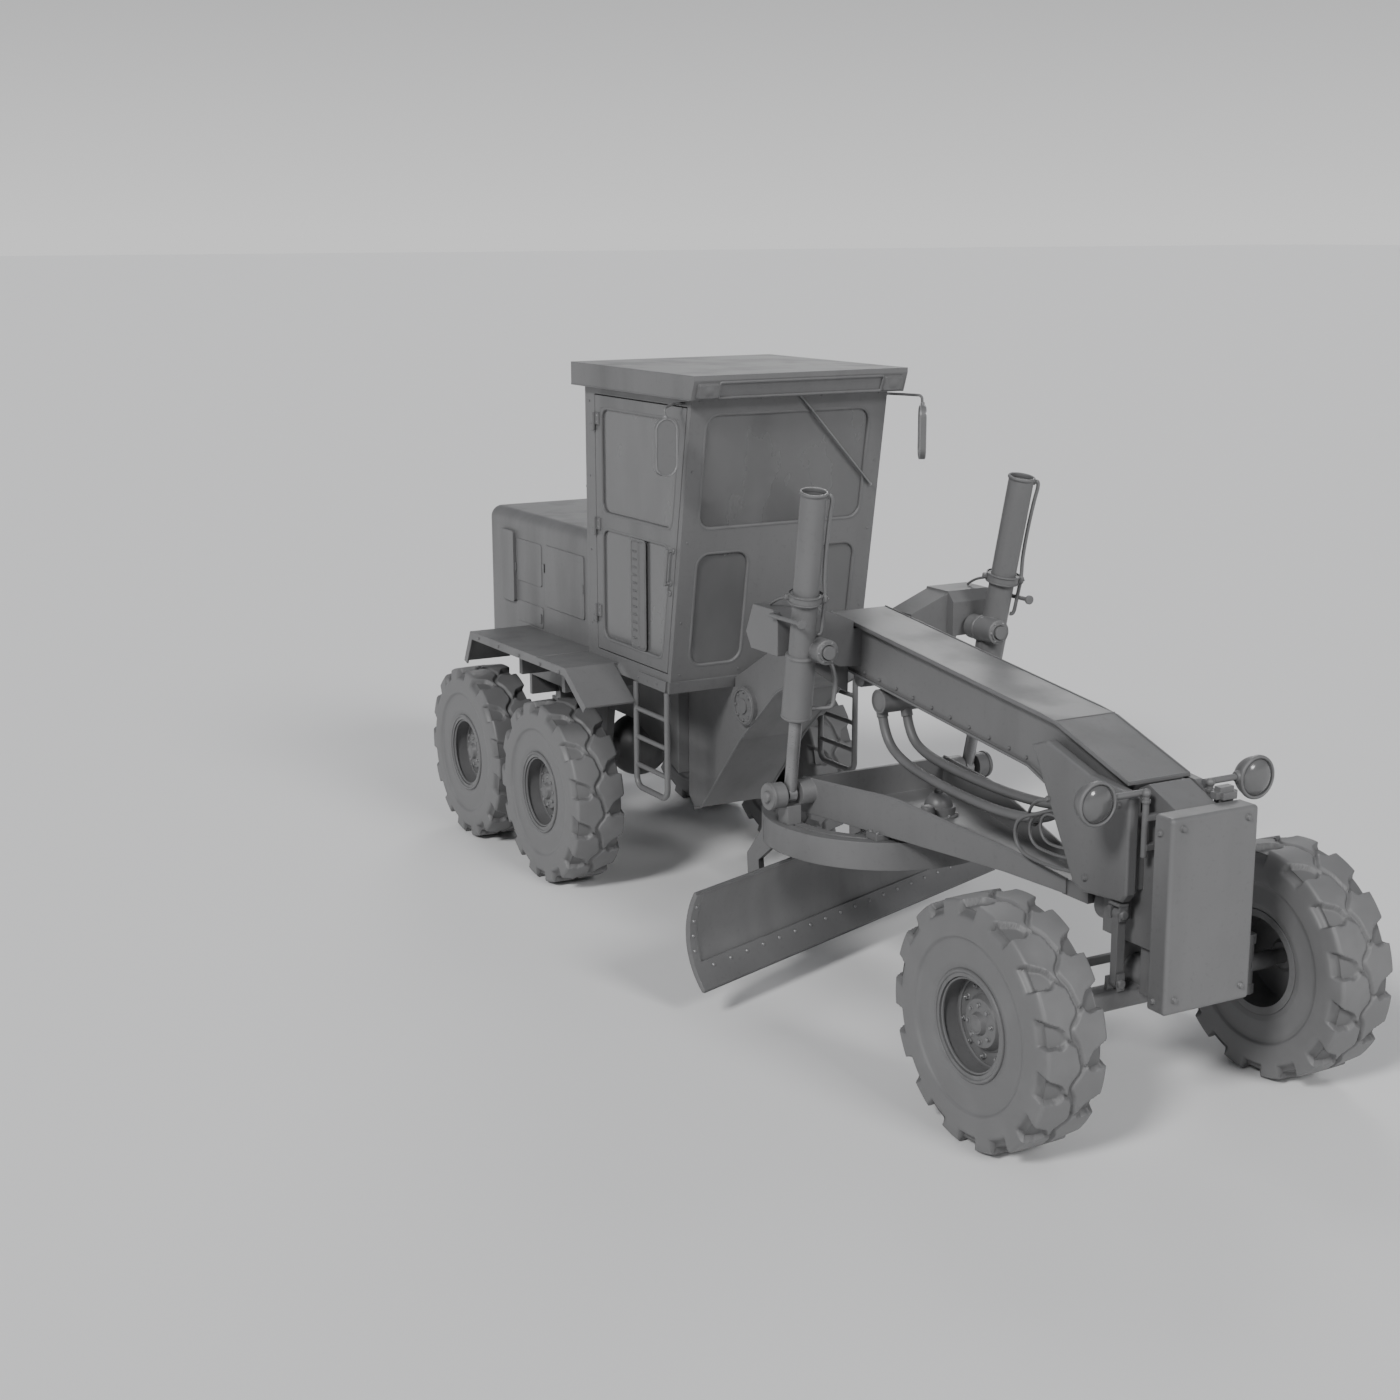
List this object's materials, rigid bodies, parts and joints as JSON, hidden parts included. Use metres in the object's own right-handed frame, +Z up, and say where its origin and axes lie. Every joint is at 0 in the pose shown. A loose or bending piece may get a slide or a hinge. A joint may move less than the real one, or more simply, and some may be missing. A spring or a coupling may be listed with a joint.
{
  "type": "motor grader",
  "caption": "Motor grader with a bent front beam, curved blade on a turning circle, tandem rear wheels, leaning steered front wheels and an enclosed cab.",
  "frame": {"origin": "on the ground under the middle of the whole machine", "axes": "+X forward along the machine, +Y to its left, +Z up"},
  "size_m": [7.5793, 2.8969, 3.552],
  "materials": {
    "body_paint": "satin",
    "rim_paint": "satin",
    "tyre": "satin",
    "blade_steel": "satin",
    "rod_steel": "satin",
    "glazing": "gloss",
    "hose": "satin",
    "seat_cover": "matte"
  },
  "bodies": {
    "frame": {"cab_floor": "body_paint", "cab_front": "body_paint", "cab_glass": "glazing", "cab_rear": "body_paint", "cab_roof": "body_paint", "cab_sides": "body_paint", "console": "body_paint", "engine": "body_paint", "fenders": "body_paint", "front_axle": "body_paint", "front_beam": "body_paint", "front_plate": "body_paint", "gooseneck": "body_paint", "headlamps": "body_paint", "hood": "body_paint", "hose_drum": "body_paint", "hose_left": "hose", "hose_right": "hose", "ladders": "body_paint", "lamp_lenses": "glazing", "lift_arms": "body_paint", "mirrors": "body_paint", "nose_bolster": "body_paint", "rear_frame": "body_paint", "seat": "seat_cover", "side_covers": "body_paint", "stay_links": "body_paint", "tandem_cases": "body_paint"},
    "wheel_front_right": {"rim_front_right": "rim_paint", "tyre_front_right": "tyre"},
    "wheel_front_left": {"rim_front_left": "rim_paint", "tyre_front_left": "tyre"},
    "wheel_middle_right": {"rim_middle_right": "rim_paint", "tyre_middle_right": "tyre"},
    "wheel_middle_left": {"rim_middle_left": "rim_paint", "tyre_middle_left": "tyre"},
    "wheel_rear_right": {"rim_rear_right": "rim_paint", "tyre_rear_right": "tyre"},
    "wheel_rear_left": {"rim_rear_left": "rim_paint", "tyre_rear_left": "tyre"},
    "yoke_right": {"yoke_right": "body_paint"},
    "knuckle_right": {"knuckle_right": "body_paint"},
    "lift_barrel_right": {"lift_barrel_right": "body_paint"},
    "lift_rod_right": {"lift_rod_right": "rod_steel"},
    "door_right": {"door_right": "body_paint", "door_glass_right": "glazing"},
    "yoke_left": {"yoke_left": "body_paint"},
    "knuckle_left": {"knuckle_left": "body_paint"},
    "lift_barrel_left": {"lift_barrel_left": "body_paint"},
    "lift_rod_left": {"lift_rod_left": "rod_steel"},
    "door_left": {"door_left": "body_paint", "door_glass_left": "glazing"},
    "tie_rod_stud": {"tie_rod_stud": "rod_steel"},
    "tie_rod": {"tie_rod": "body_paint"},
    "lean_bar": {"lean_bar": "body_paint"},
    "drawbar": {"drawbar": "body_paint"},
    "moldboard": {"moldboard": "blade_steel"},
    "slide_frame": {"slide_frame": "body_paint"},
    "circle": {"circle": "body_paint", "circle_arms": "body_paint"}
  },
  "joints": [
    {"name": "lean_right", "type": "hinge", "parent": "frame", "child": "yoke_right", "pos_m": [3.16, -0.6, 0.615], "axis": [1, 0, 0], "range_deg": [-15, 15]},
    {"name": "lean_left", "type": "hinge", "parent": "frame", "child": "yoke_left", "pos_m": [3.16, 0.6, 0.615], "axis": [1, 0, 0], "range_deg": [-15, 15]},
    {"name": "lean_bar_pin", "type": "hinge", "parent": "yoke_right", "child": "lean_bar", "pos_m": [3.035, -0.6, 0.77], "axis": [1, 0, 0], "range_deg": [-15, 15]},
    {"name": "steer_right", "type": "hinge", "parent": "yoke_right", "child": "knuckle_right", "pos_m": [3.16, -0.69, 0.63], "axis": [0, 0, 1], "range_deg": [-38, 38]},
    {"name": "steer_left", "type": "hinge", "parent": "yoke_left", "child": "knuckle_left", "pos_m": [3.16, 0.69, 0.63], "axis": [0, 0, 1], "range_deg": [-38, 38]},
    {"name": "tie_rod_swivel", "type": "hinge", "parent": "knuckle_right", "child": "tie_rod_stud", "pos_m": [2.93, -0.69, 0.492], "axis": [0, 0, 1], "range_deg": [-38, 38]},
    {"name": "tie_rod_tilt", "type": "hinge", "parent": "tie_rod_stud", "child": "tie_rod", "pos_m": [2.93, -0.69, 0.492], "axis": [1, 0, 0], "range_deg": [-14, 14]},
    {"name": "spin_front_right", "type": "hinge", "parent": "knuckle_right", "child": "wheel_front_right", "pos_m": [3.16, -0.932, 0.63], "axis": [0, 1, 0], "continuous": true},
    {"name": "spin_front_left", "type": "hinge", "parent": "knuckle_left", "child": "wheel_front_left", "pos_m": [3.16, 0.932, 0.63], "axis": [0, 1, 0], "continuous": true},
    {"name": "spin_middle_right", "type": "hinge", "parent": "frame", "child": "wheel_middle_right", "pos_m": [-1.811, -0.932, 0.63], "axis": [0, 1, 0], "continuous": true},
    {"name": "spin_middle_left", "type": "hinge", "parent": "frame", "child": "wheel_middle_left", "pos_m": [-1.811, 0.932, 0.63], "axis": [0, 1, 0], "continuous": true},
    {"name": "spin_rear_right", "type": "hinge", "parent": "frame", "child": "wheel_rear_right", "pos_m": [-3.111, -0.932, 0.63], "axis": [0, 1, 0], "continuous": true},
    {"name": "spin_rear_left", "type": "hinge", "parent": "frame", "child": "wheel_rear_left", "pos_m": [-3.111, 0.932, 0.63], "axis": [0, 1, 0], "continuous": true},
    {"name": "drawbar_lift", "type": "hinge", "parent": "frame", "child": "drawbar", "pos_m": [2.865, 0, 1], "axis": [0, 1, 0], "range_deg": [-10.3, 4.5]},
    {"name": "lift_pivot_right", "type": "hinge", "parent": "frame", "child": "lift_barrel_right", "pos_m": [0.773, -0.602, 2.065], "axis": [0.2351, 0.972, 0], "range_deg": [-3.6, 1.7]},
    {"name": "lift_stroke_right", "type": "slide", "parent": "lift_barrel_right", "child": "lift_rod_right", "axis": [0.1941, -0.0413, 0.9801], "range_m": [-0.4, 0.18]},
    {"name": "lift_pivot_left", "type": "hinge", "parent": "frame", "child": "lift_barrel_left", "pos_m": [0.773, 0.602, 2.065], "axis": [-0.2351, 0.972, 0], "range_deg": [-3.6, 1.7]},
    {"name": "lift_stroke_left", "type": "slide", "parent": "lift_barrel_left", "child": "lift_rod_left", "axis": [0.1941, 0.0413, 0.9801], "range_m": [-0.4, 0.18]},
    {"name": "circle_turn", "type": "hinge", "parent": "drawbar", "child": "circle", "pos_m": [0.76, 0, 0.9], "axis": [0, 0, 1], "continuous": true},
    {"name": "blade_tilt", "type": "hinge", "parent": "circle", "child": "slide_frame", "pos_m": [0.35749, -0.15129, 0.33], "axis": [-0.3518, 0.9361, 0], "range_deg": [-18, 18]},
    {"name": "blade_shift", "type": "slide", "parent": "slide_frame", "child": "moldboard", "axis": [-0.3518, 0.9361, 0], "range_m": [-0.45, 0.45]},
    {"name": "door_right_hinge", "type": "hinge", "parent": "frame", "child": "door_right", "pos_m": [-1.64, -0.727, 2.45], "axis": [0, 0, -1], "range_deg": [0, 95]},
    {"name": "door_left_hinge", "type": "hinge", "parent": "frame", "child": "door_left", "pos_m": [-1.64, 0.727, 2.45], "axis": [0, 0, 1], "range_deg": [0, 95]}
  ],
  "couplings": [
    {"joint": "lean_left", "follows": "lean_right", "ratio": 1},
    {"joint": "lean_bar_pin", "follows": "lean_right", "ratio": -1},
    {"joint": "steer_left", "follows": "steer_right", "ratio": 1},
    {"joint": "tie_rod_swivel", "follows": "steer_right", "ratio": -1},
    {"joint": "tie_rod_tilt", "follows": "lean_right", "ratio": -0.8696},
    {"joint": "lift_pivot_right", "follows": "drawbar_lift", "ratio": 0.33748},
    {"joint": "lift_stroke_right", "follows": "drawbar_lift", "m_per_rad": 2.1593},
    {"joint": "lift_pivot_left", "follows": "drawbar_lift", "ratio": 0.33748},
    {"joint": "lift_stroke_left", "follows": "drawbar_lift", "m_per_rad": 2.1593}
  ]
}
